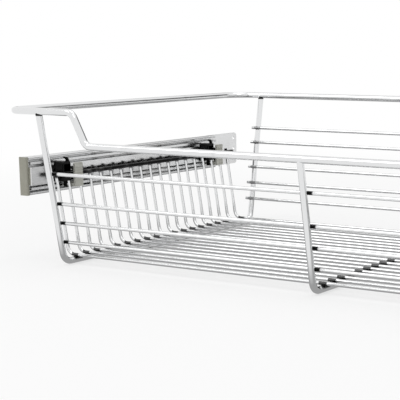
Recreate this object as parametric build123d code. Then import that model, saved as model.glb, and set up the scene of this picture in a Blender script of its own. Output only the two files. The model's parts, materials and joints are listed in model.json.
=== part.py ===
from build123d import *
import os
from math import atan, cos

# A chrome wire basket that pulls out of a cabinet on two telescopic ball slides.
# Millimetres. X runs across the cabinet, Y from the front (-Y) to the back, Z up.
# The origin is under the middle of the basket, level with the lowest wire.
# Each slide has a cabinet member, a middle member and a drawer member, nested, with
# two rows of caged balls between each pair. The basket hangs on the drawer members
# by four clips that grip its side rails.

os.makedirs("parts", exist_ok=True)

# --- Basket: driving sizes ---------------------------------------------------------
basket_depth = 362.4          # outside of the rim, front to back
basket_height = 144.8         # underside of the ribs to the top of the rim
rim_to_cabinet = 1.8          # from the rim's outer side to the cabinet's side wall
rim_rod = 6.4
rib_rod = 6.0
wire_rod = 3.2
rail_rod = 4.0
weld_sink = 0.3               # how far two welded wires melt into each other

floor_depth = 305.0           # between the corners of a rib's two lower bends
rib_bend = 10.0               # bends are given at the middle of the rod
rib_inset = 33.0              # from the rim's side run in to the nearest rib

rim_front_bend = 9.0
rim_back_bend = 24.0
scoop_drop = 29.4             # how much lower the front rim runs between its two bends
scoop_shoulder = 71.5         # rim's side run to the top of the slanted stretch
scoop_slant = 10.5            # how far the slanted stretch also moves inwards
scoop_bend = 7.0
seam_bead = 0.7               # how far the butt weld stands proud below and inside
seam_width = 2.4
seam_edge = 0.6
seam_from_corner = 8.0        # from the end of the back left bend to that weld

front_wire_heights = [21.4, 39.3, 57.3, 84.8]
back_wire_heights = [27.8, 45.4, 62.8, 90.0, 105.8]
wire_stub = 5.0               # a front or back wire ends this far past the end ribs

cross_wire_count = 19
cross_wire_pitch = 15.2
side_corner_inset = 24.6      # rim's side run to the corner where a cross wire turns up
side_wire_spread = 12.7       # how far the side wire leans out by the time it ends
side_wire_above_rail = 3.5
side_wire_bend = 8.0
rail_height = 80.5
rail_overhang = 7.0           # side rail beyond the first and last cross wires

# --- Slides: driving sizes ---------------------------------------------------------
slide_height = 35.0
slide_thickness = 12.7        # cabinet wall to the drawer member's inner face
slide_above_rail = 0.5        # middle of the slide over the middle of the side rail
slide_front = -163.5          # front edge of the cabinet member
channel_length = 291.5
mounting_tab_length = 53.0    # flat tail behind the channel
mounting_tab_corner = 4.0
slide_travel = 290.0

cabinet_sheet = 1.2
middle_sheet = 1.0
drawer_sheet = 1.2
cage_sheet = 0.5
sheet_gap = 0.45              # between two webs that pass each other
edge_gap = 0.3                # between a sheet's edge and what runs past it
cabinet_bend = 1.7            # outer bend radius of each sheet
lip_bend = 1.5
shoulder_width = 2.2          # step in the middle member that carries the outer balls
member_setback = 1.0          # middle member behind the cabinet member's ends
drawer_setback = 2.0          # drawer member short of the cabinet channel's rear end

ball_diameter = 3.2
ball_play = 0.15
ball_hole_play = 0.1          # radial room of a ball in its cage
balls_per_row = 5
cage_length = 120.0
cage_end = 8.0                # cage beyond its last ball

first_screw_from_front = 37.0
last_screw_from_back = 30.5   # from the channel's rear end
screw_hole = 4.4
access_hole = 8.0
tab_hole = 3.4
tab_hole_pitch = 11.5
tab_hole_inset = 6.0

# --- Front caps, clips and locks: driving sizes --------------------------------------
cap_thickness = 2.7
cap_gap = 0.3                 # to the cabinet member when the basket is shut
cap_width = 9.4
cap_corner = 1.2
cap_plug_length = 14.0
cap_plug_wall = 1.6

clip_lead = 6.7               # clip's front end ahead of the first cross wire
clip_block_length = 21.0
clip_plate = 2.0
clip_above_rail = 12.5        # all heights of clip and lock are from the rail's middle
clip_below_rail = 7.0
clip_low_plate_above_rail = 5.5    # the plate is lower behind the lock
clip_hook_thickness = 6.0
clip_lip = 2.3
clip_lip_foot_above_rail = 0.5
clip_seam = 0.9
rail_play = 0.2               # rail to the plastic round it
seat_thickness = 3.8
seat_side_gap = 0.9
finger_width = 3.2
finger_thickness = 1.4
finger_radius = 3.4
ear_length = 2.4
ear_gap = 0.3                 # between an ear and the lock's knuckle
ear_root = 1.0                # ear above the foot of the clip's plate
clip_spacing_count = 15       # cross wires from the front clip to the rear one

lock_pin = 1.8
lock_pin_play = 0.06
lock_knuckle = 4.4
lock_pin_below_rail = 10.7
lock_pin_from_slide = 1.8     # inwards from the drawer member's face
lock_side_gap = 0.5
lock_plate = 2.2
lock_above_rail = 10.0
lock_below_pin = 1.6
lock_corner = 1.2
lock_grip_count = 3
lock_grip_from_top = 4.8
lock_grip_pitch = 2.4
lock_grip_width = 1.0
lock_grip_depth = 0.5

rivet_shank = 3.0
rivet_head = 5.4
rivet_head_height = 0.8
rivet_count = 2               # in each clip

# --- Places worked out from the sizes ------------------------------------------------
rim_radius = rim_rod / 2
rib_radius = rib_rod / 2
wire_radius = wire_rod / 2
rail_radius = rail_rod / 2
rim_y = basket_depth / 2 - rim_radius
rim_z = basket_height - rim_radius
rib_z = rib_radius
foot_y = floor_depth / 2
lean = (rim_y - foot_y) / (rim_z - rib_z)      # of a rib's legs, per unit of height
lean_cos = cos(atan(lean))

cabinet_wall_x = 305.0
rim_x = cabinet_wall_x - rim_to_cabinet - rim_radius
rib_x = rim_x - rib_inset
rib_places = {"left": -rib_x, "middle": 0.0, "right": rib_x}
scoop_z = rim_z - scoop_drop

floor_z = rib_rod + wire_radius - weld_sink
side_wire_top = rail_height + side_wire_above_rail
first_cross_y = -cross_wire_pitch * (cross_wire_count - 1) / 2
cross_foot_x = rim_x - side_corner_inset
cross_top_x = cross_foot_x + side_wire_spread
side_lean = side_wire_spread / (side_wire_top - floor_z)
side_cos = cos(atan(side_lean))


def leg_y(z):
    """Distance of a rib's leg from the middle of the basket at height z."""
    return foot_y + lean * (z - rib_z)


def side_x(z):
    """Distance of the side wires from the middle of the basket at height z."""
    return cross_foot_x + side_lean * (z - floor_z)


rail_x = side_x(rail_height) - (wire_radius + rail_radius - weld_sink) / side_cos

slide_x = -cabinet_wall_x                      # outer face of the left slide
slide_centre_height = rail_height + slide_above_rail
drawer_face_x = slide_x + slide_thickness
channel_back = slide_front + channel_length
channel_middle = slide_front + channel_length / 2
tab_back = channel_back + mounting_tab_length
ball_radius = ball_diameter / 2
cut_margin = 1.0              # how far a cutting rod starts outside what it cuts


# --- Helpers -------------------------------------------------------------------------
def rod(points, bend, diameter):
    """A round rod bent along a line of points."""
    line = FilletPolyline(*points, radius=bend)
    section = Plane(origin=line @ 0, z_dir=line % 0) * Circle(diameter / 2)
    return sweep(section, path=line)


def straight_rod(start, end, diameter):
    """A straight round rod from one point to another."""
    axis = Vector(end) - Vector(start)
    plane = Plane(origin=start, z_dir=axis)
    return extrude(plane * Circle(diameter / 2), amount=axis.length)


def along_depth(sketch, front, back):
    """A section drawn in X and Z, run from front to back."""
    return extrude(Plane.XZ.offset(-back) * sketch, amount=back - front)


def block(low, high):
    """A box between two corners."""
    size = [b - a for a, b in zip(low, high)]
    centre = [(a + b) / 2 for a, b in zip(low, high)]
    return Pos(*centre) * Box(*size)


def sheet_section(outer_points, bends, thickness):
    """A sheet of even thickness, drawn by its outer surface from top to bottom.

    Points are given from the cabinet wall inwards and from the slide's middle up.
    """
    line = FilletPolyline(*outer_points, radius=bends) if bends else Polyline(*outer_points)
    inside = offset(line, amount=thickness, side=Side.LEFT, kind=Kind.INTERSECTION)
    section = make_face(inside)
    return Pos(slide_x, slide_centre_height) * section


def mirrored_points(points):
    """A half outline and its mirror image below the slide's middle."""
    return points + [(u, -v) for u, v in reversed(points)]


def both_sides(name, left):
    """The left piece and its mirror image, as two parts."""
    return {name + "_left": left, name + "_right": mirror(left, about=Plane.YZ)}


def hole_across(y, height_from_middle, diameter, depth):
    """A round hole through the left slide's web, from the wall inwards."""
    z = slide_centre_height + height_from_middle
    start = (slide_x - cut_margin, y, z)
    return straight_rod(start, (slide_x + depth + cut_margin, y, z), diameter)


# --- The wire basket -----------------------------------------------------------------
def make_rim():
    """One rod bent to a loop that dips at the front, butt welded near a back corner."""
    low_y = leg_y(scoop_z)
    top_bend_x = rim_x - scoop_shoulder
    low_bend_x = top_bend_x - scoop_slant
    points = [
        (0, rim_y, rim_z),
        (rim_x, rim_y, rim_z),
        (rim_x, -rim_y, rim_z),
        (top_bend_x, -rim_y, rim_z),
        (low_bend_x, -low_y, scoop_z),
        (0, -low_y, scoop_z),
    ]
    right = rod(points, [rim_back_bend, rim_front_bend, scoop_bend, scoop_bend], rim_rod)
    bead = Cylinder(rim_radius, seam_width)
    bead = Rot(0, 90, 0) * chamfer(bead.edges().filter_by(GeomType.CIRCLE), seam_edge)
    seam_x = -rim_x + rim_back_bend + seam_from_corner
    bead = Pos(seam_x, rim_y - seam_bead, rim_z - seam_bead) * bead
    return right + mirror(right, about=Plane.YZ) + bead


def make_rib(x, front_top_z):
    """A rod bent to a U that carries the floor, front and back wires."""
    return rod(
        [
            (x, -leg_y(front_top_z), front_top_z),
            (x, -foot_y, rib_z),
            (x, foot_y, rib_z),
            (x, leg_y(rim_z), rim_z),
        ],
        rib_bend,
        rib_rod,
    )


def make_long_wire(z, side):
    """A straight wire on the inner side of the ribs' front or back legs."""
    inset = (rib_radius + wire_radius - weld_sink) / lean_cos
    y = side * (leg_y(z) - inset)
    end_x = rib_x + wire_stub
    return straight_rod((-end_x, y, z), (end_x, y, z), wire_rod)


def make_cross_wire(y):
    """A wire across the floor that turns up into both sides."""
    return rod(
        [
            (-cross_top_x, y, side_wire_top),
            (-cross_foot_x, y, floor_z),
            (cross_foot_x, y, floor_z),
            (cross_top_x, y, side_wire_top),
        ],
        side_wire_bend,
        wire_rod,
    )


def make_side_rail():
    """The heavier wire, inside the side wires, that the clips hold."""
    front = first_cross_y - rail_overhang
    return straight_rod((-rail_x, front, rail_height), (-rail_x, -front, rail_height), rail_rod)


# --- The slides ----------------------------------------------------------------------
# Section of the left slide: u runs inwards from the cabinet wall, v up from the middle.
half_height = slide_height / 2
outer_ball_v = half_height - cabinet_sheet - ball_play - ball_radius
middle_web_u = cabinet_sheet + sheet_gap + cage_sheet + sheet_gap
outer_ball_u = middle_web_u + shoulder_width + ball_play + ball_radius
cage_edge = cage_sheet / 2 + edge_gap
cabinet_lip_u = outer_ball_u + ball_radius + ball_play + cabinet_sheet
middle_race_v = outer_ball_v - ball_radius - ball_play
inner_ball_v = middle_race_v - middle_sheet - ball_play - ball_radius
inner_cage_u = middle_web_u + middle_sheet + sheet_gap
drawer_lip_u = inner_cage_u + cage_sheet + sheet_gap
inner_ball_u = drawer_lip_u + drawer_sheet + ball_play + ball_radius
middle_lip_u = inner_ball_u + ball_radius + ball_play + middle_sheet
drawer_race_v = inner_ball_v - ball_radius - ball_play
drawer_web_u = slide_thickness - drawer_sheet

middle_front = slide_front + member_setback
middle_back = channel_back - member_setback
cap_back = slide_front - cap_gap
cap_front = cap_back - cap_thickness
drawer_back = channel_back - drawer_setback
screw_places = [
    slide_front + first_screw_from_front,
    channel_back - last_screw_from_back,
]
ball_pitch = (cage_length - 2 * cage_end) / (balls_per_row - 1)
ball_places = [
    channel_middle - cage_length / 2 + cage_end + index * ball_pitch
    for index in range(balls_per_row)
]


def make_cabinet_member():
    """The channel screwed to the cabinet, with a flat drilled tail behind it."""
    half = [
        (cabinet_lip_u, outer_ball_v + cage_edge),
        (cabinet_lip_u, half_height),
        (0, half_height),
    ]
    bends = [lip_bend, cabinet_bend, cabinet_bend, lip_bend]
    channel = along_depth(
        sheet_section(mirrored_points(half), bends, cabinet_sheet), slide_front, channel_back
    )
    tail_start = channel_back - mounting_tab_corner
    tail = block(
        (slide_x, tail_start, slide_centre_height - half_height),
        (slide_x + cabinet_sheet, tab_back, slide_centre_height + half_height),
    )
    corners = tail.edges().filter_by(Axis.X).group_by(Axis.Y)[-1]
    member = channel + fillet(corners, mounting_tab_corner)
    for y in screw_places:
        member -= hole_across(y, 0, screw_hole, cabinet_sheet)
    tab_hole_y = tab_back - tab_hole_inset
    for row in (-1, 0, 1):
        member -= hole_across(tab_hole_y, row * tab_hole_pitch, tab_hole, cabinet_sheet)
    return member


def make_middle_member():
    """The member that runs between the other two, stepped to make both ball races."""
    half = [
        (middle_lip_u, inner_ball_v + cage_edge),
        (middle_lip_u, middle_race_v),
        (middle_web_u + shoulder_width, middle_race_v),
        (middle_web_u + shoulder_width, outer_ball_v - cage_edge),
        (middle_web_u, outer_ball_v - cage_edge),
    ]
    section = sheet_section(mirrored_points(half), 0, middle_sheet)
    member = along_depth(section, middle_front, middle_back)
    return member - hole_across(screw_places[1], 0, access_hole, middle_web_u + middle_sheet)


def make_drawer_member():
    """The inner channel, which carries the basket's clips."""
    race = drawer_race_v
    outline = Polyline(
        (drawer_lip_u, inner_ball_v - cage_edge),
        (drawer_lip_u + drawer_sheet, inner_ball_v - cage_edge),
        (drawer_lip_u + drawer_sheet, race),
        (slide_thickness, race),
        (slide_thickness, 0),
        (drawer_web_u, 0),
        (drawer_web_u, race - drawer_sheet),
        (drawer_lip_u, race - drawer_sheet),
        close=True,
    )
    top = make_face(outline)
    section = Pos(slide_x, slide_centre_height) * (top + mirror(top, about=Plane.XZ))
    return along_depth(section, cap_back, drawer_back)


def make_cage(web_u, reach_u, ball_u, ball_v):
    """A thin channel that keeps one pair of ball rows evenly spaced."""
    reach_v = ball_v + cage_sheet / 2
    inner_v = ball_v - cage_sheet / 2
    outline = Polyline(
        (web_u, 0), (web_u, reach_v), (reach_u, reach_v), (reach_u, inner_v),
        (web_u + cage_sheet, inner_v), (web_u + cage_sheet, 0), close=True,
    )
    top = make_face(outline)
    section = Pos(slide_x, slide_centre_height) * (top + mirror(top, about=Plane.XZ))
    half = cage_length / 2
    cage = along_depth(section, channel_middle - half, channel_middle + half)
    hole = Cylinder(ball_radius + ball_hole_play, slide_height)
    for y in ball_places:
        cage -= Pos(slide_x + ball_u, y, slide_centre_height) * hole
    return cage


def make_balls(ball_u, ball_v):
    """Two rows of balls, one above and one below the slide's middle."""
    return Compound([
        Pos(slide_x + ball_u, y, slide_centre_height + v) * Sphere(ball_radius)
        for y in ball_places
        for v in (ball_v, -ball_v)
    ])


def make_front_cap():
    """The plastic cap on the drawer member's front end, which covers the slide."""
    plate = block(
        (slide_x, cap_front, slide_centre_height - half_height),
        (slide_x + cap_width, cap_back, slide_centre_height + half_height),
    )
    plate = fillet(plate.edges().filter_by(Axis.Z).group_by(Axis.Y)[0], cap_corner)
    inside_v = drawer_race_v - drawer_sheet
    plug = block(
        (slide_x + drawer_lip_u + drawer_sheet, cap_back, slide_centre_height - inside_v),
        (slide_x + drawer_web_u, cap_back + cap_plug_length, slide_centre_height + inside_v),
    )
    hollow = block(
        (
            slide_x + drawer_lip_u + drawer_sheet,
            cap_back + cap_plug_wall,
            slide_centre_height - inside_v + cap_plug_wall,
        ),
        (
            slide_x + drawer_web_u - cap_plug_wall,
            cap_back + cap_plug_length,
            slide_centre_height + inside_v - cap_plug_wall,
        ),
    )
    return plate + (plug - hollow)


# --- Clips and locks -----------------------------------------------------------------
# Each clip starts clip_lead ahead of a cross wire, so its seat and its lock pass
# between wires. Both are drawn for the front left corner.
clip_front = first_cross_y - clip_lead
clip_top_height = rail_height + clip_above_rail
clip_plate_foot = rail_height - clip_below_rail
clip_plate_low_top = rail_height + clip_low_plate_above_rail
clip_lip_foot = rail_height + clip_lip_foot_above_rail
wire_gap_low = wire_radius + seat_side_gap
seat_low_y = first_cross_y + wire_gap_low
seat_high_y = first_cross_y + cross_wire_pitch - wire_gap_low
lock_gap_low = wire_radius + lock_side_gap
lock_low_y = first_cross_y + cross_wire_pitch + lock_gap_low
lock_high_y = first_cross_y + 2 * cross_wire_pitch - lock_gap_low
plate_back_y = lock_high_y + ear_gap + ear_length
pin_x = drawer_face_x + lock_pin_from_slide
lock_pin_height = rail_height - lock_pin_below_rail
lock_foot_height = lock_pin_height - lock_below_pin
lock_top_height = rail_height + lock_above_rail
lip_x = -rail_x + rail_radius + rail_play
clip_y_places = {"front": 0.0, "rear": clip_spacing_count * cross_wire_pitch}


def make_clip():
    """The black clip: a hook over the rail, a seat under it and ears for the lock."""
    face = drawer_face_x
    lip_face = lip_x + clip_lip
    block_back = clip_front + clip_block_length
    high_plate = block(
        (face, clip_front, clip_plate_foot), (face + clip_plate, block_back, clip_top_height)
    )
    low_plate = block(
        (face, clip_front, clip_plate_foot), (face + clip_plate, plate_back_y, clip_plate_low_top)
    )
    hook = block(
        (face, clip_front, clip_top_height - clip_hook_thickness),
        (lip_face, block_back, clip_top_height),
    )
    lip = block((lip_x, clip_front, clip_lip_foot), (lip_face, block_back, clip_top_height))
    seat_top = rail_height - rail_radius - rail_play
    seat = block((face, seat_low_y, seat_top - seat_thickness), (lip_x, seat_high_y, seat_top))
    body = high_plate + low_plate + hook + lip + seat
    for y in (lock_low_y - ear_gap - ear_length, lock_high_y + ear_gap):
        body += block(
            (face, y, lock_pin_height - lock_knuckle / 2),
            (pin_x + lock_pin, y + ear_length, clip_plate_foot + ear_root),
        )
    seam_y = (clip_front + block_back) / 2
    body -= block(
        (lip_face - clip_seam, seam_y - clip_seam / 2, clip_lip_foot),
        (lip_face, seam_y + clip_seam / 2, clip_top_height),
    )
    ring = Circle(finger_radius) - Circle(finger_radius - finger_thickness)
    ring &= Pos(0, finger_radius / 2) * Rectangle(2 * finger_radius, finger_radius)
    plane = Plane(
        origin=(lip_face, block_back - finger_radius, clip_top_height),
        x_dir=(0, 1, 0), z_dir=(1, 0, 0),
    )
    body += extrude(plane * ring, amount=-finger_width)
    return body - make_lock_pin()


def make_lock():
    """The pale lock that swings up in front of the rail and holds it in the clip."""
    knuckle = straight_rod(
        (pin_x, lock_low_y, lock_pin_height), (pin_x, lock_high_y, lock_pin_height), lock_knuckle
    )
    arm = block(
        (pin_x, lock_low_y, lock_foot_height),
        (lip_x + lock_plate, lock_high_y, lock_pin_height + lock_pin),
    )
    plate = block(
        (lip_x, lock_low_y, lock_foot_height),
        (lip_x + lock_plate, lock_high_y, lock_top_height),
    )
    top = plate.edges().filter_by(Axis.X).group_by(Axis.Z)[-1]
    plate = fillet(top, lock_corner)
    lock = knuckle + arm + plate
    for index in range(lock_grip_count):
        z = lock_top_height - lock_grip_from_top - index * lock_grip_pitch
        lock -= block(
            (lip_x + lock_plate - lock_grip_depth, lock_low_y, z - lock_grip_width / 2),
            (lip_x + lock_plate, lock_high_y, z + lock_grip_width / 2),
        )
    return lock - straight_rod(
        (pin_x, lock_low_y - cut_margin, lock_pin_height),
        (pin_x, lock_high_y + cut_margin, lock_pin_height),
        lock_pin + 2 * lock_pin_play,
    )


def make_lock_pin():
    """The pin a lock turns on, held in the clip's two ears."""
    reach = ear_gap + ear_length
    return straight_rod(
        (pin_x, lock_low_y - reach, lock_pin_height),
        (pin_x, lock_high_y + reach, lock_pin_height),
        lock_pin,
    )


def make_rivet(y):
    """A rivet through the drawer member's web and the clip's plate."""
    web_x = slide_x + drawer_web_u
    plate_x = drawer_face_x + clip_plate
    z = slide_centre_height
    shank = straight_rod((web_x, y, z), (plate_x, y, z), rivet_shank)
    outer = straight_rod((web_x - rivet_head_height, y, z), (web_x, y, z), rivet_head)
    inner = straight_rod((plate_x, y, z), (plate_x + rivet_head_height, y, z), rivet_head)
    return shank + outer + inner


# --- Making every part ---------------------------------------------------------------
parts = {"rim": make_rim()}
for name, x in rib_places.items():
    front_top = scoop_z if name == "middle" else rim_z
    parts["rib_" + name] = make_rib(x, front_top)
for number, z in enumerate(front_wire_heights, start=1):
    parts[f"front_wire_{number}"] = make_long_wire(z, -1)
for number, z in enumerate(back_wire_heights, start=1):
    parts[f"back_wire_{number}"] = make_long_wire(z, 1)
for index in range(cross_wire_count):
    parts[f"cross_wire_{index + 1:02d}"] = make_cross_wire(
        first_cross_y + index * cross_wire_pitch
    )
parts.update(both_sides("side_rail", make_side_rail()))

parts.update(both_sides("cabinet_member", make_cabinet_member()))
parts.update(both_sides("middle_member", make_middle_member()))

rivet_places = [
    first_cross_y + cross_wire_pitch / 2 + gap * cross_wire_pitch + shift
    for shift in clip_y_places.values()
    for gap in range(rivet_count)
]
rivets = [make_rivet(y) for y in rivet_places]
drawer_member = make_drawer_member()
clip = make_clip()
for rivet in rivets:
    drawer_member -= rivet
for rivet in rivets[:rivet_count]:
    clip -= rivet
parts.update(both_sides("drawer_member", drawer_member))
parts.update(both_sides("front_cap", make_front_cap()))

outer_cage = make_cage(cabinet_sheet + sheet_gap, cabinet_lip_u, outer_ball_u, outer_ball_v)
inner_cage = make_cage(inner_cage_u, drawer_web_u - edge_gap, inner_ball_u, inner_ball_v)
parts.update(both_sides("outer_cage", outer_cage))
parts.update(both_sides("inner_cage", inner_cage))
parts.update(both_sides("outer_balls", make_balls(outer_ball_u, outer_ball_v)))
parts.update(both_sides("inner_balls", make_balls(inner_ball_u, inner_ball_v)))

lock = make_lock()
pins = []
for place, shift in clip_y_places.items():
    parts.update(both_sides("clip_" + place, Pos(0, shift, 0) * clip))
    parts.update(both_sides("lock_" + place, Pos(0, shift, 0) * lock))
    pins.append(Pos(0, shift, 0) * make_lock_pin())
parts["lock_pins"] = Compound(pins + [mirror(pin, about=Plane.YZ) for pin in pins])
parts["clip_rivets"] = Compound(rivets + [mirror(rivet, about=Plane.YZ) for rivet in rivets])

for name, shape in parts.items():
    export_step(shape, f"parts/{name}.step")
print(len(parts), "parts")
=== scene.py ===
# %% [markdown]
# A chrome wire basket that pulls out of a kitchen cabinet on two ball slides.
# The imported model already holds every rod, slide, clip and lock at its real size and
# place. This file gives each of them its finish, adds the small forms that welding and
# moulding leave behind, and sets up a plain studio to look at it.

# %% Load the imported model
import json
from math import cos, pi, radians, sin

import bpy
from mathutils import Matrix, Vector


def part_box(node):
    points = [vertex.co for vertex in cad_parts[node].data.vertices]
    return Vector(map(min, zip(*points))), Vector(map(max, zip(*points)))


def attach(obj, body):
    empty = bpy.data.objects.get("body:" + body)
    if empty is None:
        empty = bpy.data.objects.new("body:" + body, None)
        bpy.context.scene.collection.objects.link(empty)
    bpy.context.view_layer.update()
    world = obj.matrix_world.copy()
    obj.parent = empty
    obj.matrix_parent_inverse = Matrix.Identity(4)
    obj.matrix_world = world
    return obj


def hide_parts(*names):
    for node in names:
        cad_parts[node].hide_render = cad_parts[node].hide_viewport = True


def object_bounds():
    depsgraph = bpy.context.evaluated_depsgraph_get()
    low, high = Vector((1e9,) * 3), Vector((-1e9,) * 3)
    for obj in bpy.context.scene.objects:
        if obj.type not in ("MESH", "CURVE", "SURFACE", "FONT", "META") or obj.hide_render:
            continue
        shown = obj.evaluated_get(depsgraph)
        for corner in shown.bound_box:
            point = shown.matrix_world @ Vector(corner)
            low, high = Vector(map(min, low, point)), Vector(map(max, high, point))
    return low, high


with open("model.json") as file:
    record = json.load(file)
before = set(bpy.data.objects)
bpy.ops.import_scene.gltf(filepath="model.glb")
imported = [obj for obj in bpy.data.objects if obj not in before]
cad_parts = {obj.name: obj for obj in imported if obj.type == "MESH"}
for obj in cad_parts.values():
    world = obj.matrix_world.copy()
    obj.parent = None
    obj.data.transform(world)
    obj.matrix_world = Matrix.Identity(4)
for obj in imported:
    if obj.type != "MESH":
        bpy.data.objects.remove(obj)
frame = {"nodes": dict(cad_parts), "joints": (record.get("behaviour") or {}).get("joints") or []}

bpy.ops.object.select_all(action="DESELECT")
cad_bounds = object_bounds()
nodes = frame["nodes"]
print("pieces from the packed model:", len(nodes))

# %% [markdown]
# Shader maths reads best as Python. A Number wraps one output socket of a shader node,
# and its operators add Math nodes, so that 1 - mask or 0.2 + 0.1 * noise works as it
# looks. Every other node comes from one method of the Graph that holds the material.


# %% Numbers in a shader
class Number:
    """One output socket, with the arithmetic that this file uses."""

    def __init__(self, graph, socket):
        self.graph = graph
        self.socket = socket

    def maths(self, operation, *values):
        sockets = dict(enumerate(values))
        return self.graph.node("ShaderNodeMath", {"operation": operation}, sockets)

    def __add__(self, other):
        return self.maths("ADD", self, other)

    def __radd__(self, other):
        return self.maths("ADD", other, self)

    def __sub__(self, other):
        return self.maths("SUBTRACT", self, other)

    def __rsub__(self, other):
        return self.maths("SUBTRACT", other, self)

    def __mul__(self, other):
        return self.maths("MULTIPLY", self, other)

    def __rmul__(self, other):
        return self.maths("MULTIPLY", other, self)

    def __truediv__(self, other):
        return self.maths("DIVIDE", self, other)

    def __abs__(self):
        return self.maths("ABSOLUTE", self)

    def fraction(self):
        return self.maths("FRACT", self)

    def at_least(self, other):
        return self.maths("MAXIMUM", self, other)

    def at_most(self, other):
        return self.maths("MINIMUM", self, other)

    def fade(self, start, end):
        """0 up to start and 1 from end on, smooth between; start may be the larger one."""
        settings = {"interpolation_type": "SMOOTHSTEP"}
        sockets = {"Value": self, "From Min": start, "From Max": end}
        return self.graph.node("ShaderNodeMapRange", settings, sockets)


# %% Node trees
class Graph:
    """The node tree of a material or of the world, emptied and filled from Python."""

    def __init__(self, owner):
        owner.use_nodes = True
        self.tree = owner.node_tree
        self.tree.nodes.clear()

    def node(self, kind, settings={}, sockets={}, output=0):
        new = self.tree.nodes.new(kind)
        for name, value in settings.items():
            setattr(new, name, value)
        for name, value in sockets.items():
            if isinstance(value, Number):
                self.tree.links.new(value.socket, new.inputs[name])
            else:
                new.inputs[name].default_value = value
        return Number(self, new.outputs[output])

    def place(self):
        """Where a point lies on the object, in metres."""
        return self.node("ShaderNodeTexCoord", output="Object")

    def axes(self, vector):
        """The three parts of a vector, as numbers."""
        split = self.node("ShaderNodeSeparateXYZ", {}, {0: vector}).socket.node
        return [Number(self, split.outputs[name]) for name in "XYZ"]

    def noise(self, vector, scale, detail=2.0):
        sockets = {"Vector": vector, "Scale": scale, "Detail": detail}
        return self.node("ShaderNodeTexNoise", {}, sockets)

    def stretched(self, vector, scale):
        """A place scaled by its own factor along each axis, for the lines of rolling."""
        return self.node("ShaderNodeMapping", {}, {"Vector": vector, "Scale": scale})

    def mixed(self, factor, first, second):
        """One colour that goes over into another."""
        sockets = {0: factor, 6: first, 7: second}
        return self.node("ShaderNodeMix", {"data_type": "RGBA"}, sockets, output=2)

    def bumped(self, height, strength, distance):
        sockets = {"Height": height, "Strength": strength, "Distance": distance}
        return self.node("ShaderNodeBump", {}, sockets)

    def finish(self, surface, kind="ShaderNodeOutputMaterial"):
        end = self.tree.nodes.new(kind)
        self.tree.links.new(surface.socket, end.inputs["Surface"])


def surface_material(name, sockets_of):
    """A material whose Principled shader gets the sockets that a function works out."""
    material = bpy.data.materials.new(name)
    graph = Graph(material)
    graph.finish(graph.node("ShaderNodeBsdfPrincipled", {}, sockets_of(graph)))
    print("finish", name, "of", len(graph.tree.nodes), "shader nodes")
    return material


# %% [markdown]
# Where things are. The finishes change near the welds, so they need to know where the
# wires cross. All of it is measured on the model's own pieces, so that it holds when a
# size changes.


# %% Places of the wires
def middle(node):
    low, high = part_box(node)
    return (Vector(low) + Vector(high)) / 2


def half_size(node, axis):
    low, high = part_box(node)
    return (high[axis] - low[axis]) / 2


cross_wires = [name for name in nodes if name.startswith("cross_wire")]
long_wires = [name for name in nodes if name.startswith(("front_wire", "back_wire"))]
cross_ys = sorted(middle(name).y for name in cross_wires)
first_cross = cross_ys[0]
wire_pitch = cross_ys[1] - first_cross
wire_radius = half_size("front_wire_1", 2)
rib_x = middle("rib_right").x
rib_radius = half_size("rib_right", 0)
rib_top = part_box("rib_right")[1][2]
rail = middle("side_rail_right")
rail_radius = half_size("side_rail_right", 2)
print("cross wires every", round(wire_pitch * 1000, 2), "mm; ribs at", round(rib_x * 1000, 1), "mm")

# %% [markdown]
# Bright chrome is a metal with almost no roughness. What makes it look real is how it
# fails to be perfect: a faint haze that changes over a hand's width, slow ripples of the
# drawn wire under the plating, and fine specks. One function makes this plate, and each
# kind of wire gives it a mask of where it turns near black: stains on the plain rods,
# painted shade at the crossings and rim ends of the others.

# %% Chrome plate
PLATE = (0.77, 0.775, 0.78, 1.0)
DULL_PLATE = (0.60, 0.60, 0.595, 1.0)
# Near black: stains on the plain rods, scale on the weld beads, and painted shade at the crossings and
# under the rim.
STAIN_AND_SHADE_BLACK = (0.012, 0.012, 0.012, 1.0)
HAZE_SCALE = 34.0
RIPPLE_SCALE = 150.0
SPECK_SCALE = 900.0


def chrome_sockets(graph, stains_and_shade):
    place = graph.place()
    haze = graph.noise(place, HAZE_SCALE, 3.0)
    ripple = graph.noise(place, RIPPLE_SCALE, 1.0)
    specks = graph.noise(place, SPECK_SCALE, 2.0).fade(0.66, 0.74)
    plate = graph.mixed(specks * 0.25, PLATE, DULL_PLATE)
    return {
        # The mask turns the plate near black: stains on plain rods, painted shade on the other rods.
        "Base Color": graph.mixed(stains_and_shade, plate, STAIN_AND_SHADE_BLACK),
        "Metallic": 1.0,
        "Roughness": 0.05 + 0.05 * haze + 0.20 * stains_and_shade,
        "Normal": graph.bumped(ripple, 0.04, 0.0004),
    }


def plain_chrome(graph):
    stains = graph.noise(graph.place(), 60.0, 2.0).fade(0.62, 0.80)
    return chrome_sockets(graph, stains * 0.15)


plain_finish = surface_material("plain_chrome", plain_chrome)

# %% [markdown]
# Where the wires cross, and under the rim, the chrome is painted near black. This is painted shade
# for the dark contact shade between touching rods. The marks could be painted by hand,
# piece by piece. Distances to the wires do it for all of them at once: along the top of a
# rib's floor run at every cross wire, at the rib's ends under the rim, and on each wire
# beside a rib or a rail.

# %% Painted shade at the crossings
# Sizes of the painted shade at the crossings, under the rim and at the rail.
LONG_WIRE_MARK = (0.0048, 0.0030)        # fades in from the first distance to the second
CROSS_WIRE_MARK = (0.0044, 0.0034)
RIB_MARK = (0.0074, 0.0062)
RIM_MARK = (0.0050, 0.0042)              # below the rib's end
RAIL_MARK = (0.0040, 0.0020)             # below the rail's middle
FLOOR_END = (0.006, 0.002)               # past the first and last cross wire


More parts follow.
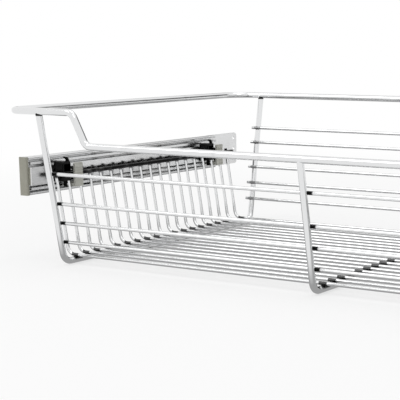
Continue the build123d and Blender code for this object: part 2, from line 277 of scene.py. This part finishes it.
def rib_chrome(graph):
    """Chrome with painted shade along the top of a rib's floor run, and where it meets the rim."""
    x, y, z = graph.axes(graph.place())
    turns = (y - first_cross) / wire_pitch + 0.5
    from_wire = abs(turns.fraction() - 0.5) * wire_pitch
    above_middle = z.fade(1.0 * rib_radius, 1.5 * rib_radius)
    below_legs = z.fade(4.0 * rib_radius, 3.0 * rib_radius)
    in_floor = abs(y).fade(abs(first_cross) + FLOOR_END[0], abs(first_cross) + FLOOR_END[1])
    at_wires = from_wire.fade(*RIB_MARK) * (above_middle * below_legs) * in_floor
    at_rim = z.fade(rib_top - RIM_MARK[0], rib_top - RIM_MARK[1])
    return chrome_sockets(graph, at_wires.at_least(at_rim))


def wire_chrome(graph):
    """Chrome with painted shade where a long wire meets one of the three ribs."""
    x, y, z = graph.axes(graph.place())
    shifted = x - LONG_WIRE_MARK[0] / 2
    from_rib = abs(shifted).at_most(abs(abs(shifted) - rib_x))
    # The painted shade is weaker towards the back.
    less_at_back = 1.0 - 0.40 * y.fade(0.00, 0.02)
    return chrome_sockets(graph, from_rib.fade(*LONG_WIRE_MARK) * less_at_back)


def cross_chrome(graph):
    """Chrome with painted shade where a cross wire meets the ribs below and the rail above."""
    x, y, z = graph.axes(graph.place())
    from_rib = abs(x).at_most(abs(abs(x) - rib_x))
    # Painted shade on each cross wire from just below the rail's middle upwards.
    at_rail = z.fade(rail.z - RAIL_MARK[0], rail.z - RAIL_MARK[1])
    return chrome_sockets(graph, (from_rib.fade(*CROSS_WIRE_MARK) * 0.9).at_least(at_rail))


rib_finish = surface_material("rib_chrome", rib_chrome)
wire_finish = surface_material("wire_chrome", wire_chrome)
cross_finish = surface_material("cross_chrome", cross_chrome)

# %% [markdown]
# The side rails hang in the shade between the cross wires and the slides. That shade is
# painted into them: their chrome is a nearly black metal with a few brighter clouds.

# %% Painted shade on the rails
# Near black: painted shade for the rails.
RAIL_SHADE = (0.010, 0.010, 0.010, 1.0)


def painted_shade_rail_chrome(graph):
    clouds = graph.noise(graph.place(), 90.0, 2.0)
    return {
        "Base Color": graph.mixed(clouds.fade(0.50, 1.20), RAIL_SHADE, DULL_PLATE),
        "Metallic": 1.0,
        "Roughness": 0.12 + 0.10 * clouds,
    }


rail_shade_finish = surface_material("painted_shade_rail_chrome", painted_shade_rail_chrome)

# %% [markdown]
# The slides are rolled from bright plated strip. Rolling leaves very fine lines along
# the slide, which blur a reflection across them more than along them. Stretching the
# noise a hundred times along Y gives such lines to both roughness and bump.

# %% Rolled strip
STRIP = (0.77, 0.775, 0.78, 1.0)
STRIP_DULL = (0.66, 0.66, 0.66, 1.0)
CAGE = (0.52, 0.52, 0.51, 1.0)
CAGE_DULL = (0.42, 0.42, 0.41, 1.0)
LINE_SCALES = (900.0, 9.0, 900.0)


def strip_sockets(graph, bright, dull, rough):
    place = graph.place()
    lines = graph.noise(graph.stretched(place, LINE_SCALES), 1.0, 3.0)
    clouds = graph.noise(place, 18.0, 2.0)
    return {
        "Base Color": graph.mixed(clouds.fade(0.42, 0.75), bright, dull),
        "Metallic": 1.0,
        "Roughness": rough + 0.05 * lines + 0.05 * clouds,
        "Normal": graph.bumped(lines, 0.05, 0.0002),
    }


def slide_strip(graph):
    return strip_sockets(graph, STRIP, STRIP_DULL, 0.17)


def cage_strip(graph):
    return strip_sockets(graph, CAGE, CAGE_DULL, 0.20)


slide_finish = surface_material("slide_strip", slide_strip)
cage_finish = surface_material("cage_strip", cage_strip)

# %% [markdown]
# Balls, pins and rivets are ground or headed steel under a film of grease. The film
# changes colour and roughness a little, at the scale of a fingerprint.

# %% Bearing steel
STEEL = (0.62, 0.62, 0.62, 1.0)
GREASED_STEEL = (0.50, 0.49, 0.47, 1.0)


def bearing_steel(graph):
    film = graph.noise(graph.place(), 700.0, 2.0)
    return {
        "Base Color": graph.mixed(film, STEEL, GREASED_STEEL),
        "Metallic": 1.0,
        "Roughness": 0.06 + 0.08 * film,
    }


bearing_finish = surface_material("bearing_steel", bearing_steel)

# %% [markdown]
# The clips, caps and locks are moulded. A moulded surface carries the spark-eroded grain
# of its tool: a very fine bump, and a roughness that varies a little with it. The black
# stays a little above zero, because no plastic is fully black.

# %% Moulded plastics
BLACK = (0.004, 0.004, 0.004, 1.0)
WORN_BLACK = (0.008, 0.008, 0.008, 1.0)
PUTTY = (0.30, 0.295, 0.245, 1.0)
WORN_PUTTY = (0.33, 0.325, 0.275, 1.0)
PALE = (0.42, 0.42, 0.38, 1.0)
WORN_PALE = (0.47, 0.47, 0.43, 1.0)
GRAIN_SCALE = 2600.0


def moulded_sockets(graph, colour, worn, rough, shine):
    place = graph.place()
    grain = graph.noise(place, GRAIN_SCALE, 2.0)
    patches = graph.noise(place, 120.0, 2.0)
    return {
        "Base Color": graph.mixed(patches.fade(0.45, 0.80), colour, worn),
        "Specular IOR Level": shine,
        "Roughness": rough + 0.12 * grain + 0.06 * patches,
        "Normal": graph.bumped(grain, 0.30, 0.0001),
    }


def black_plastic(graph):
    return moulded_sockets(graph, BLACK, WORN_BLACK, 0.34, 0.12)


def putty_plastic(graph):
    return moulded_sockets(graph, PUTTY, WORN_PUTTY, 0.36, 0.5)


def pale_plastic(graph):
    return moulded_sockets(graph, PALE, WORN_PALE, 0.40, 0.3)


black_finish = surface_material("black_plastic", black_plastic)
putty_finish = surface_material("putty_plastic", putty_plastic)
pale_finish = surface_material("pale_plastic", pale_plastic)

# %% [markdown]
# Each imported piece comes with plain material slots. Its name says what it is made of, so
# one function can choose the finish for all sixty of them.


# %% Which piece wears which finish
def finish_of(name):
    if name.startswith("rib_"):
        return rib_finish
    if name in long_wires:
        return wire_finish
    if name in cross_wires:
        return cross_finish
    if "member" in name:
        return slide_finish
    if "cage" in name:
        return cage_finish
    if "balls" in name or name in ("lock_pins", "clip_rivets"):
        return bearing_finish
    if name.startswith("clip_"):
        return black_finish
    if name.startswith("front_cap"):
        return putty_finish
    if name.startswith("lock_"):
        return pale_finish
    if name.startswith("side_rail"):
        return rail_shade_finish
    return plain_finish


for name, piece in nodes.items():
    for wearing in piece.material_slots:
        wearing.material = finish_of(name)
print("finishes in use:", len({finish_of(name).name for name in nodes}))

# %% [markdown]
# Where two wires cross they are resistance welded: current melts the contact, the wires
# sink into each other, and a little metal is pressed out all round. That collar is a
# flat lens at each crossing. It is made once for each direction in which two wires
# press together and copied to every crossing, with only a few faces, since there are
# over a hundred and none is larger than 5 mm.

# %% Weld beads
BEAD_REACH = 0.0021
BEAD_THICKNESS = 0.0008
LEAN = 0.1815            # of the ribs' legs, radians from upright
SCALE_ON_WELD = (0.06, 0.06, 0.058, 1.0)


def weld_metal(graph):
    scale = graph.noise(graph.place(), 1500.0, 2.0)
    return {
        "Base Color": graph.mixed(scale.fade(0.35, 0.70), STAIN_AND_SHADE_BLACK, SCALE_ON_WELD),
        "Metallic": 1.0,
        "Roughness": 0.30 + 0.15 * scale,
    }


weld_finish = surface_material("weld_metal", weld_metal)


def select_only(pieces):
    bpy.ops.object.select_all(action="DESELECT")
    for piece in pieces:
        piece.select_set(True)
    bpy.context.view_layer.objects.active = pieces[0]


def joined(pieces):
    """Joins pieces into the first one, with its origin at the model's."""
    select_only(pieces)
    bpy.ops.object.join()
    bpy.ops.object.transform_apply(location=True, rotation=True, scale=True)
    return bpy.context.object


def copy_to(piece, place):
    """A copy with a mesh of its own."""
    copy = piece.copy()
    copy.data = piece.data.copy()
    copy.location = place
    bpy.context.collection.objects.link(copy)
    return copy


def ride_on_basket(piece, name, finish):
    """Names a finished piece, gives it its finish and lets it move with the basket."""
    piece.name = name
    piece.data.materials.clear()
    piece.data.materials.append(finish)
    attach(piece, "basket")
    print(name, len(piece.data.polygons), "faces")


def add_beads(name, places, thin_axis, tilt=0.0):
    """Flat lenses at the crossings, thin along the axis that joins the two wires."""
    size = [BEAD_REACH] * 3
    size[thin_axis] = BEAD_THICKNESS
    bpy.ops.mesh.primitive_uv_sphere_add(
        segments=8, ring_count=5, radius=1.0, rotation=(tilt, 0.0, 0.0), scale=size
    )
    bpy.ops.object.transform_apply(location=False, rotation=True, scale=True)
    bpy.ops.object.shade_smooth()
    bead = bpy.context.object
    copies = [copy_to(bead, place) for place in places]
    bpy.data.objects.remove(bead)
    ride_on_basket(joined(copies), name, weld_finish)


# %% Beads at every crossing
def towards_leg(name, side):
    """The points where a front or back wire touches the ribs' legs."""
    centre = middle(name)
    reach = wire_radius - BEAD_THICKNESS / 4
    y = centre.y + side * reach * cos(LEAN)
    z = centre.z - reach * sin(LEAN)
    return [(x, y, z) for x in (-rib_x, 0.0, rib_x)]


floor_places = [(x, y, 2 * rib_radius) for x in (-rib_x, 0.0, rib_x) for y in cross_ys]
front_places = [spot for name in long_wires if "front" in name for spot in towards_leg(name, -1)]
back_places = [spot for name in long_wires if "back" in name for spot in towards_leg(name, 1)]
rail_places = [(side * (rail.x + rail_radius), y, rail.z) for side in (-1, 1) for y in cross_ys]

add_beads("floor_welds", floor_places, 2)
add_beads("front_welds", front_places, 1, LEAN)
add_beads("back_welds", back_places, 1, -LEAN)
add_beads("rail_welds", rail_places, 0)

# %% [markdown]
# Each clip is one moulding: a block that hooks over the rail between the first two cross
# wires, a seat below the rail, a curled finger on top that springs it open, and two ears
# for the lock's pin. Its parts are boxes with bevelled edges, as moulded edges are, and
# the finger is a quarter cut from a ring. The finished piece stands for the plain clip of
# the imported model. All places come from the rail, the drawer member and the lock.

# %% Sizes of a clip
drawer_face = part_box("drawer_member_right")[0][0]
pins = {joint["child"]: Vector(joint["pos_m"]) for joint in frame["joints"] if joint["type"] == "hinge"}
pin = pins["lock_front_right"]
lock_low, lock_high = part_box("lock_front_right")
CLIP_PLATE = 0.0020
WIRE_GAP = 0.0011
RAIL_GAP = 0.0002
HOOK_ABOVE_RAIL = 0.0120
PLATE_ABOVE_RAIL = 0.0055
PLATE_BELOW_RAIL = 0.0070
SEAT = 0.0038
LIP = 0.0016
LIP_ABOVE_RAIL = 0.0011
LIP_BELOW_HOOK = 0.0020
EAR = 0.0024
EAR_GAP = 0.0003
EAR_BEYOND_PIN = (0.0018, 0.0022)        # inwards and downwards
EAR_IN_PLATE = 0.0010
FINGER_RADIUS = 0.0046
FINGER_THICKNESS = 0.0015
FINGER_WIDTH = 0.0032
FINGER_IN_HOOK = 0.0002
HOOK_EDGE = 0.0007
SEAT_EDGE = 0.0005
THIN_EDGE = 0.0003
print("drawer member's face at", round(drawer_face * 1000, 2), "mm")
print("lock's pin at", [round(part * 1000, 1) for part in pin], "mm")


# %% Blocks and a finger
def add_block(low, high, rounding):
    """A box between two corners, with rounded edges."""
    low, high = Vector(low), Vector(high)
    bpy.ops.mesh.primitive_cube_add(size=1.0, location=(low + high) / 2, scale=high - low)
    block = bpy.context.object
    bpy.ops.object.transform_apply(location=True, rotation=True, scale=True)
    bpy.ops.object.mode_set(mode="EDIT")
    bpy.ops.mesh.select_all(action="SELECT")
    bpy.ops.mesh.bevel(offset=rounding, segments=3, affect="EDGES")
    bpy.ops.object.mode_set(mode="OBJECT")
    return block


def cut_away(piece, tool, operation="DIFFERENCE"):
    """Cuts one piece by another, which is then deleted."""
    cut = piece.modifiers.new("cut", "BOOLEAN")
    cut.operation = operation
    cut.object = tool
    select_only([piece])
    bpy.ops.object.modifier_apply(modifier="cut")
    bpy.data.objects.remove(tool)


def add_disc(centre, radius, width):
    bpy.ops.mesh.primitive_cylinder_add(
        vertices=40, radius=radius, depth=width, location=centre, rotation=(0.0, pi / 2, 0.0)
    )
    return bpy.context.object


def add_finger(centre):
    """A quarter of a ring that rises from the hook's top and curls to the front."""
    finger = add_disc(centre, FINGER_RADIUS, FINGER_WIDTH)
    cut_away(finger, add_disc(centre, FINGER_RADIUS - FINGER_THICKNESS, 2 * FINGER_WIDTH))
    reach = 2 * FINGER_RADIUS
    quarter = Vector(centre) + Vector((0.0, reach / 2, reach / 2))
    bpy.ops.mesh.primitive_cube_add(size=1.0, location=quarter, scale=(reach, reach, reach))
    cut_away(finger, bpy.context.object, "INTERSECT")
    return finger


# %% One clip
def add_clip():
    """The clip at the front right, from which the other three are copied."""
    low_y = first_cross + wire_radius + WIRE_GAP
    high_y = first_cross + wire_pitch - wire_radius - WIRE_GAP
    low_ear = lock_low[1] - EAR_GAP - EAR
    high_ear = lock_high[1] + EAR_GAP
    hook_top = rail.z + HOOK_ABOVE_RAIL
    plate_foot = rail.z - PLATE_BELOW_RAIL
    plate_x = drawer_face - CLIP_PLATE
    lip_back = rail.x - rail_radius - RAIL_GAP
    lip_face = lip_back - LIP
    above_rail = rail.z + rail_radius + RAIL_GAP
    below_rail = rail.z - rail_radius - RAIL_GAP
    seat_foot = below_rail - SEAT
    lip_foot = rail.z + LIP_ABOVE_RAIL
    plate_top = rail.z + PLATE_ABOVE_RAIL
    pieces = [
        add_block((lip_face, low_y, above_rail), (drawer_face, high_y, hook_top), HOOK_EDGE),
        add_block((lip_face, low_y, lip_foot), (lip_back, high_y, hook_top - LIP_BELOW_HOOK), THIN_EDGE),
        add_block((plate_x, low_y, seat_foot), (drawer_face, high_y, hook_top), THIN_EDGE),
        add_block((lip_face, low_y, seat_foot), (drawer_face, high_y, below_rail), SEAT_EDGE),
        add_block((plate_x, low_y, plate_foot), (drawer_face, high_ear + EAR, plate_top), THIN_EDGE),
    ]
    for y in (low_ear, high_ear):
        low = (pin.x - EAR_BEYOND_PIN[0], y, pin.z - EAR_BEYOND_PIN[1])
        high = (drawer_face, y + EAR, plate_foot + EAR_IN_PLATE)
        pieces.append(add_block(low, high, THIN_EDGE))
    finger_x = lip_back + FINGER_WIDTH / 2
    pieces.append(add_finger((finger_x, high_y - FINGER_RADIUS, hook_top - FINGER_IN_HOOK)))
    return joined(pieces)


def mirror_to_left(piece):
    """Mirrors a piece about the middle of the basket, with its faces pointing outwards."""
    piece.scale.x = -1.0
    select_only([piece])
    bpy.ops.object.transform_apply(location=True, rotation=True, scale=True)
    bpy.ops.object.mode_set(mode="EDIT")
    bpy.ops.mesh.select_all(action="SELECT")
    bpy.ops.mesh.normals_make_consistent(inside=False)
    bpy.ops.object.mode_set(mode="OBJECT")


# %% Four clips
clip_model = add_clip()
for lock, spot in pins.items():
    clip = copy_to(clip_model, (0.0, spot.y - pin.y, 0.0))
    select_only([clip])
    bpy.ops.object.transform_apply(location=True, rotation=True, scale=True)
    if spot.x < 0:
        mirror_to_left(clip)
    node = lock.replace("lock", "clip")
    ride_on_basket(clip, node + "_moulding", black_finish)
    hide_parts(node)
bpy.data.objects.remove(clip_model)

# %% [markdown]
# The studio. Chrome shows only what is around it, so the surroundings matter more than
# the lamps. The camera comes first: its angles, lens and shift were fitted to the rods,
# and the shift stands for the part of the picture that was cropped away.

# %% Camera
YAW = radians(30.568)
PITCH = radians(-11.091)
CAMERA_PLACE = (0.496699, -0.979722, 0.204523)
PHOTO_SIZE = 400
FOCAL_PIXELS = 1216.545
CENTRE_PIXEL = (322.137, 276.877)

camera_data = bpy.data.cameras.new("camera")
camera_data.sensor_width = 36.0
camera_data.lens = FOCAL_PIXELS / PHOTO_SIZE * camera_data.sensor_width
camera_data.shift_x = 0.5 - CENTRE_PIXEL[0] / PHOTO_SIZE
camera_data.shift_y = CENTRE_PIXEL[1] / PHOTO_SIZE - 0.5
camera = bpy.data.objects.new("camera", camera_data)
camera.location = CAMERA_PLACE
camera.rotation_euler = (pi / 2 + PITCH, 0.0, YAW)
bpy.context.collection.objects.link(camera)
bpy.context.scene.camera = camera
print("lens", round(camera_data.lens, 1), "mm")

# %% [markdown]
# The basket stands in a white room that is open to the dark behind it. The white fills
# the body of each rod, and the dark makes a thin line along its edges. The eye sees pure
# white past the object, metal sees the room, and everything else gets a plain level.

# %% World
bpy.context.scene.view_settings.view_transform = "Standard"
world = bpy.data.worlds.new("studio")
bpy.context.scene.world = world
DARK_SIDE = radians(5.0)         # from straight behind the basket, to the right
DARK_FADE = (0.58, 0.86)         # cosine of the angle to the dark side
CEILING_FADE = (0.55, 0.30)
DARKNESS = 0.90
ROOM_LIGHT = 0.72


def dark_part(graph, direction):
    """1 towards the dark side of the room, 0 elsewhere; the ceiling stays white."""
    towards = (sin(DARK_SIDE), cos(DARK_SIDE), 0.0)
    settings = {"operation": "DOT_PRODUCT"}
    along = graph.node("ShaderNodeVectorMath", settings, {0: direction, 1: towards}, "Value")
    height = graph.axes(direction)[2]
    return along.fade(*DARK_FADE) * height.fade(*CEILING_FADE)


graph = Graph(world)
seen_by_eye = graph.node("ShaderNodeLightPath", output="Is Camera Ray")
seen_in_metal = graph.node("ShaderNodeLightPath", output="Is Glossy Ray")
direction = graph.node("ShaderNodeTexCoord", output="Generated")
metal_sees = 1.0 - DARKNESS * dark_part(graph, direction)
level = seen_by_eye + (1 - seen_by_eye) * (
    seen_in_metal * metal_sees + (1 - seen_in_metal) * ROOM_LIGHT
)
graph.finish(
    graph.node("ShaderNodeBackground", {}, {"Color": (1.0, 1.0, 1.0, 1.0), "Strength": level}),
    "ShaderNodeOutputWorld",
)
print("world of", len(graph.tree.nodes), "shader nodes")

# %% [markdown]
# The floor is pale paper that keeps the object's shadow. To the eye it goes over into the
# white of the background, more so far away, so that no horizon shows. A dark cloth under
# the basket, seen only by metal, gives the rods of the basket's floor their dark lines.

# %% Floor
FLOOR_GAP = 0.0005
PAPER = (0.90, 0.90, 0.90, 1.0)
CLOTH = (0.03, 0.03, 0.03, 1.0)
CLOTH_STRENGTH = 0.60
WHITE_NEAR = 0.62                # share of pure white close to the object


def add_floor():
    height = cad_bounds[0][2] - FLOOR_GAP
    bpy.ops.mesh.primitive_plane_add(size=12.0, location=(0.0, 0.0, height))
    floor = bpy.context.object
    floor.name = "floor"
    material = bpy.data.materials.new("floor")
    graph = Graph(material)
    paper = graph.node("ShaderNodeBsdfPrincipled", {}, {"Base Color": PAPER, "Roughness": 0.9})
    white = graph.node("ShaderNodeEmission", {}, {"Color": (1.0, 1.0, 1.0, 1.0)})
    cloth = graph.node("ShaderNodeEmission", {}, {"Color": CLOTH})
    place = graph.place()
    x, y, z = graph.axes(place)
    away = graph.node("ShaderNodeVectorMath", {"operation": "LENGTH"}, {0: place}, "Value")
    by_eye = graph.node("ShaderNodeLightPath", output="Is Camera Ray")
    in_metal = graph.node("ShaderNodeLightPath", output="Is Glossy Ray")
    under = abs(x).fade(0.42, 0.34) * y.fade(-0.22, -0.16) * y.fade(0.60, 0.30)
    whiter = by_eye * (WHITE_NEAR + (1 - WHITE_NEAR) * away.fade(0.45, 1.3)) + in_metal
    darker = in_metal * under * CLOTH_STRENGTH
    surface = graph.node("ShaderNodeMixShader", {}, {0: whiter, 1: paper, 2: white})
    graph.finish(graph.node("ShaderNodeMixShader", {}, {0: darker, 1: surface, 2: cloth}))
    floor.data.materials.append(material)
    print("floor at", round(height * 1000, 2), "mm")


add_floor()

# %% [markdown]
# Three wide soft lamps: a key from the front left, a weaker fill from the right and one
# from above. They are large, so that the shadow under the basket has no hard edge.


# %% Lamps
def add_lamp(name, place, size, power):
    data = bpy.data.lights.new(name, "AREA")
    data.shape = "RECTANGLE"
    data.size, data.size_y = size
    data.energy = power
    lamp = bpy.data.objects.new(name, data)
    lamp.location = place
    lamp.rotation_euler = (-Vector(place)).to_track_quat("-Z", "Y").to_euler()
    bpy.context.collection.objects.link(lamp)
    print("lamp", name, power, "W")


add_lamp("key", (-1.3, -1.6, 2.2), (1.6, 1.0), 14.0)
add_lamp("fill", (1.8, -1.2, 1.6), (1.2, 1.2), 5.0)
add_lamp("top", (0.2, 0.3, 2.4), (1.6, 1.6), 8.0)
